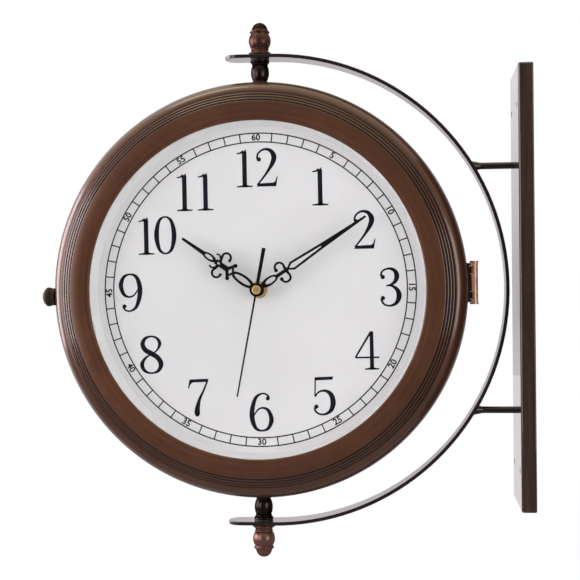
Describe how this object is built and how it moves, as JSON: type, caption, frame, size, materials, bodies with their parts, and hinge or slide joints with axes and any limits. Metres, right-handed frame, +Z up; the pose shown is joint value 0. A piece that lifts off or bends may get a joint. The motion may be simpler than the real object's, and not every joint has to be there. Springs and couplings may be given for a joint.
{
  "type": "double-sided wall clock",
  "caption": "Round double-sided clock with antique bronze bezels and Arabic dials, turning between finials in a bent strip hoop that stands off a tall wall plate.",
  "frame": {"origin": "centre of the four wall-screw holes, on the wall plane at the back of the wall plate", "axes": "+X into the wall, +Z up along the pivot axis, -Y out of the front dial"},
  "size_m": [0.4146, 0.093, 0.4588],
  "materials": {
    "bracket_paint": "dark brown gloss paint over steel",
    "case_bronze": "moulded shell with brushed antique bronze paint",
    "finial_bronze": "reddish bronze paint on turned metal",
    "spacer_black": "near-black gloss on turned metal",
    "hinge_copper": "aged copper plate",
    "knob_bronze": "dark olive bronze",
    "steel": "zinc-plated steel",
    "nylon": "black nylon",
    "lens_glass": "clear flat glass",
    "ring_white": "satin white moulding",
    "dial_white": "matt white print on sheet",
    "board_grey": "grey moulded board",
    "movement_black": "black moulded housing",
    "gear_white": "moulded acetal",
    "brass": "turned brass",
    "print_ink": "blue-black ink printed on the dial",
    "hand_black": "satin black sheet",
    "cell_sleeve": "printed sleeve on a round cell",
    "circuit_green": "circuit board with wound coil"
  },
  "bodies": {
    "bracket": {"wall_plate": "bracket_paint", "hoop_strip": "bracket_paint", "standoff_rods": "bracket_paint", "rod_nuts": "steel"},
    "case": {"case_drum": "case_bronze", "pivot_studs": "steel", "upper_spacer": "spacer_black", "lower_spacer": "spacer_black", "upper_finial": "finial_bronze", "lower_finial": "finial_bronze", "pivot_washers": "nylon", "stud_nuts": "steel", "case_hinge_leaf": "hinge_copper", "hinge_pin": "hinge_copper", "latch_keeper": "steel", "rear_bezel": "case_bronze", "rear_lens": "lens_glass", "rear_dial_ring": "ring_white", "rear_dial": "dial_white", "rear_dial_board": "board_grey", "rear_board_screws": "steel", "rear_movement_case": "movement_black", "rear_movement_cover": "movement_black", "rear_battery": "cell_sleeve", "rear_battery_contacts": "steel", "rear_circuit_board": "circuit_green", "rear_shaft_nut": "brass"},
    "door": {"door_hinge_leaf": "hinge_copper", "front_bezel": "case_bronze", "front_lens": "lens_glass", "front_dial_ring": "ring_white", "front_dial": "dial_white", "front_dial_board": "board_grey", "front_board_screws": "steel", "front_movement_case": "movement_black", "front_movement_cover": "movement_black", "front_battery": "cell_sleeve", "front_battery_contacts": "steel", "front_circuit_board": "circuit_green", "front_shaft_nut": "brass"},
    "latch": {"latch_knob": "knob_bronze", "latch_hook": "steel"},
    "front_minute": {"front_minute_hand": "hand_black", "front_minute_wheel": "gear_white"},
    "front_hour": {"front_hour_hand": "hand_black", "front_hour_wheel": "gear_white"},
    "front_intermediate": {"front_intermediate_wheel": "gear_white"},
    "front_setting": {"front_setting_knob": "gear_white"},
    "front_second": {"front_second_hand": "hand_black", "front_second_wheel": "steel", "front_hand_cap": "brass"},
    "rear_minute": {"rear_minute_hand": "hand_black", "rear_minute_wheel": "gear_white"},
    "rear_hour": {"rear_hour_hand": "hand_black", "rear_hour_wheel": "gear_white"},
    "rear_intermediate": {"rear_intermediate_wheel": "gear_white"},
    "rear_setting": {"rear_setting_knob": "gear_white"},
    "rear_second": {"rear_second_hand": "hand_black", "rear_second_wheel": "steel", "rear_hand_cap": "brass"}
  },
  "joints": [
    {"name": "case_swivel", "type": "hinge", "parent": "bracket", "child": "case", "pos_m": [-0.228, 0, 0], "axis": [0, 0, 1], "continuous": true},
    {"name": "door_hinge", "type": "hinge", "parent": "case", "child": "door", "pos_m": [-0.0478, -0.013, 0.0045], "axis": [0, 0, 1], "range_deg": [0, 90]},
    {"name": "latch_turn", "type": "hinge", "parent": "door", "child": "latch", "pos_m": [-0.408, -0.0205, -0.0045], "axis": [1, 0, 0], "range_deg": [0, 90]},
    {"name": "front_minute_turn", "type": "hinge", "parent": "door", "child": "front_minute", "pos_m": [-0.228, -0.034, 0], "axis": [0, 1, 0], "continuous": true},
    {"name": "front_hour_turn", "type": "hinge", "parent": "door", "child": "front_hour", "pos_m": [-0.228, -0.03, 0], "axis": [0, 1, 0], "continuous": true},
    {"name": "front_intermediate_turn", "type": "hinge", "parent": "door", "child": "front_intermediate", "pos_m": [-0.228, -0.013, 0.012], "axis": [0, 1, 0], "continuous": true},
    {"name": "front_setting_turn", "type": "hinge", "parent": "door", "child": "front_setting", "pos_m": [-0.2145, -0.008, 0.012], "axis": [0, 1, 0], "continuous": true},
    {"name": "front_second_turn", "type": "hinge", "parent": "door", "child": "front_second", "pos_m": [-0.228, -0.037, 0], "axis": [0, 1, 0], "continuous": true},
    {"name": "rear_minute_turn", "type": "hinge", "parent": "case", "child": "rear_minute", "pos_m": [-0.228, 0.034, 0], "axis": [0, -1, 0], "continuous": true},
    {"name": "rear_hour_turn", "type": "hinge", "parent": "case", "child": "rear_hour", "pos_m": [-0.228, 0.03, 0], "axis": [0, -1, 0], "continuous": true},
    {"name": "rear_intermediate_turn", "type": "hinge", "parent": "case", "child": "rear_intermediate", "pos_m": [-0.228, 0.013, 0.012], "axis": [0, -1, 0], "continuous": true},
    {"name": "rear_setting_turn", "type": "hinge", "parent": "case", "child": "rear_setting", "pos_m": [-0.2415, 0.008, 0.012], "axis": [0, -1, 0], "continuous": true},
    {"name": "rear_second_turn", "type": "hinge", "parent": "case", "child": "rear_second", "pos_m": [-0.228, 0.037, 0], "axis": [0, -1, 0], "continuous": true}
  ],
  "couplings": [
    {"joint": "front_hour_turn", "follows": "front_minute_turn", "ratio": 0.083333},
    {"joint": "front_intermediate_turn", "follows": "front_minute_turn", "ratio": -0.33333},
    {"joint": "front_setting_turn", "follows": "front_minute_turn", "ratio": 0.66667},
    {"joint": "rear_hour_turn", "follows": "rear_minute_turn", "ratio": 0.083333},
    {"joint": "rear_intermediate_turn", "follows": "rear_minute_turn", "ratio": -0.33333},
    {"joint": "rear_setting_turn", "follows": "rear_minute_turn", "ratio": 0.66667}
  ]
}
